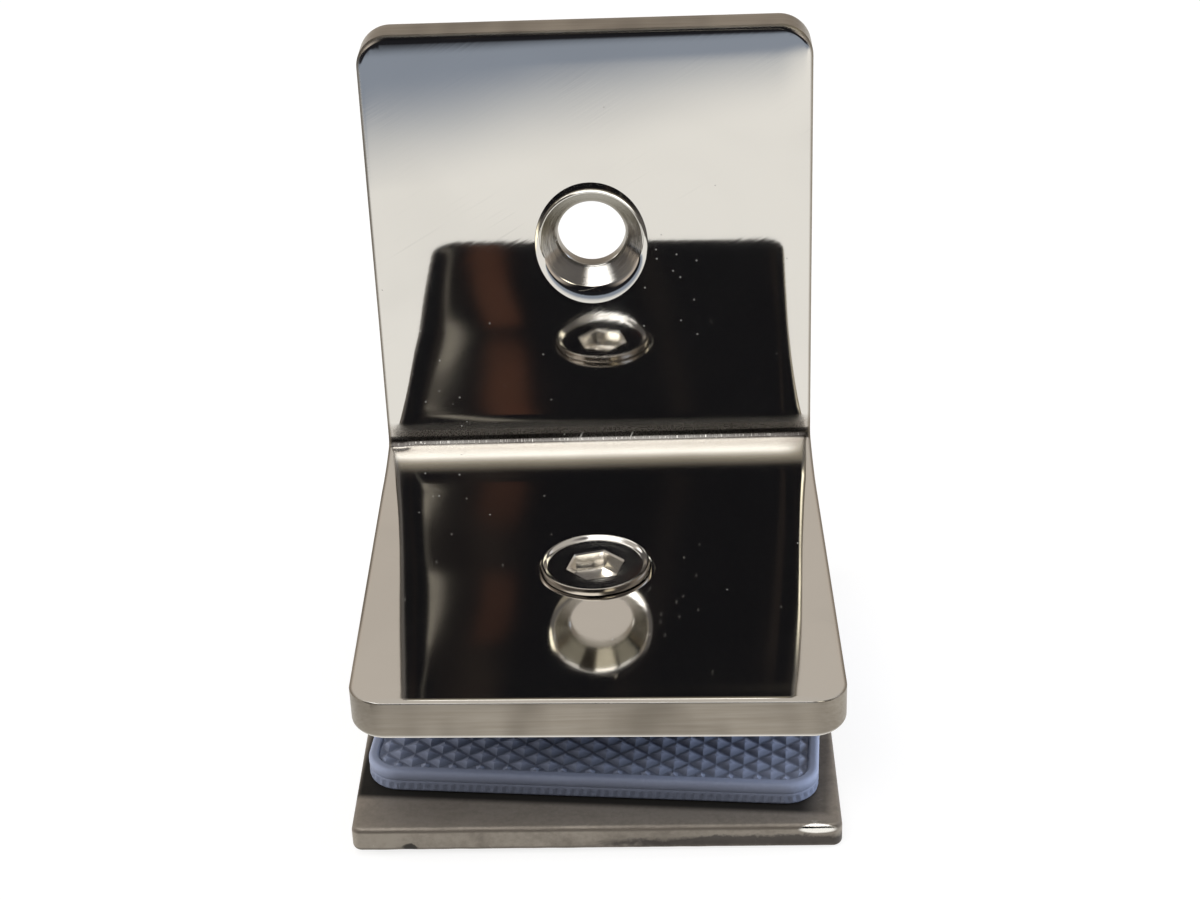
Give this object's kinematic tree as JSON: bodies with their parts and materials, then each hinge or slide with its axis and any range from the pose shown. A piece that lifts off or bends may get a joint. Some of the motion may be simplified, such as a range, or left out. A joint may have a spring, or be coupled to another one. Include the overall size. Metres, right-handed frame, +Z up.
{
  "type": "glass clamp",
  "caption": "Wall-fixed glass clamp: a bent polished bracket and a loose lower plate, drawn together by a socket screw so that rubber pads grip the edge of a pane.",
  "frame": {"origin": "middle of the wall hole, on the face that lies on the wall", "axes": "+Z up the wall leg, -Y out from the wall towards the glass, +X along the bend"},
  "size_m": [0.0458, 0.0537, 0.0614],
  "materials": {
    "polished_steel": "mirror-polished stainless steel with faint hairlines",
    "screw_steel": "bright turned stainless steel",
    "plate_steel": "dull rolled stainless steel, blotched and lightly nicked",
    "pad_rubber": "matt blue-grey rubber with a diamond relief"
  },
  "bodies": {
    "bracket": {"bracket": "polished_steel", "upper_pad": "pad_rubber"},
    "screw": {"clamp_screw": "screw_steel"},
    "clamp": {"clamp_plate": "plate_steel", "lower_pad": "pad_rubber"}
  },
  "joints": [
    {"name": "clamp_travel", "type": "slide", "parent": "bracket", "child": "clamp", "axis": [0, 0, 1], "range_m": [-0.001, 0.0043]},
    {"name": "screw_turn", "type": "hinge", "parent": "bracket", "child": "screw", "pos_m": [0, -0.029, -0.0236], "axis": [0, 0, 1], "range_deg": [-1550, 362]}
  ],
  "couplings": [
    {"joint": "screw_turn", "follows": "clamp_travel", "rad_per_m": -6283.2}
  ]
}
